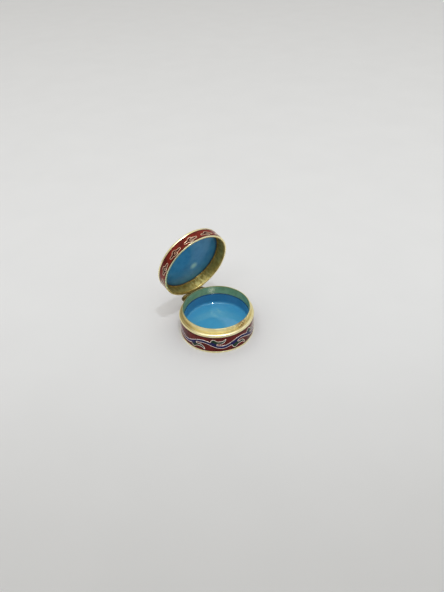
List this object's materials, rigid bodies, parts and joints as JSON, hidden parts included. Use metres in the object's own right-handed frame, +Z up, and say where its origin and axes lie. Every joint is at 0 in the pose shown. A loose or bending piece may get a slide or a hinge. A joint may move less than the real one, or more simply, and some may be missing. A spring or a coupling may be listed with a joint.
{
  "type": "enamel box",
  "caption": "Small round cloisonné enamel box on a flat foot, with a brass collar inside its mouth and a shallow hinged lid standing open",
  "frame": {"origin": "centre of the underside of the base, on the surface it stands on", "axes": "+Z up; +Y towards the hinge at the back; -Y towards the snap catch at the front; +X along the hinge pin"},
  "size_m": [0.0402, 0.0474, 0.0536],
  "materials": {
    "gilt_brass": "polished gilt, worn",
    "brass": "rubbed, with green-brown tarnish",
    "oxblood_enamel": "glossy opaque enamel with inlaid wires",
    "brick_enamel": "glossy opaque enamel with inlaid wires",
    "sky_enamel": "glossy plain enamel"
  },
  "bodies": {
    "base": {"base_shell": "gilt_brass", "base_collar": "brass", "base_enamel_band": "oxblood_enamel", "base_lining": "sky_enamel", "base_underside_enamel": "sky_enamel", "hinge_base_leaf": "brass", "hinge_pin": "brass"},
    "lid": {"lid_shell": "gilt_brass", "lid_enamel_band": "brick_enamel", "lid_top_enamel": "brick_enamel", "lid_lining": "sky_enamel", "hinge_lid_leaf": "brass"}
  },
  "joints": [
    {"name": "lid_hinge", "type": "hinge", "parent": "base", "child": "lid", "pos_m": [0, 0.021, 0.0122], "axis": [-1, 0, 0], "range_deg": [-76.4, 25]}
  ]
}
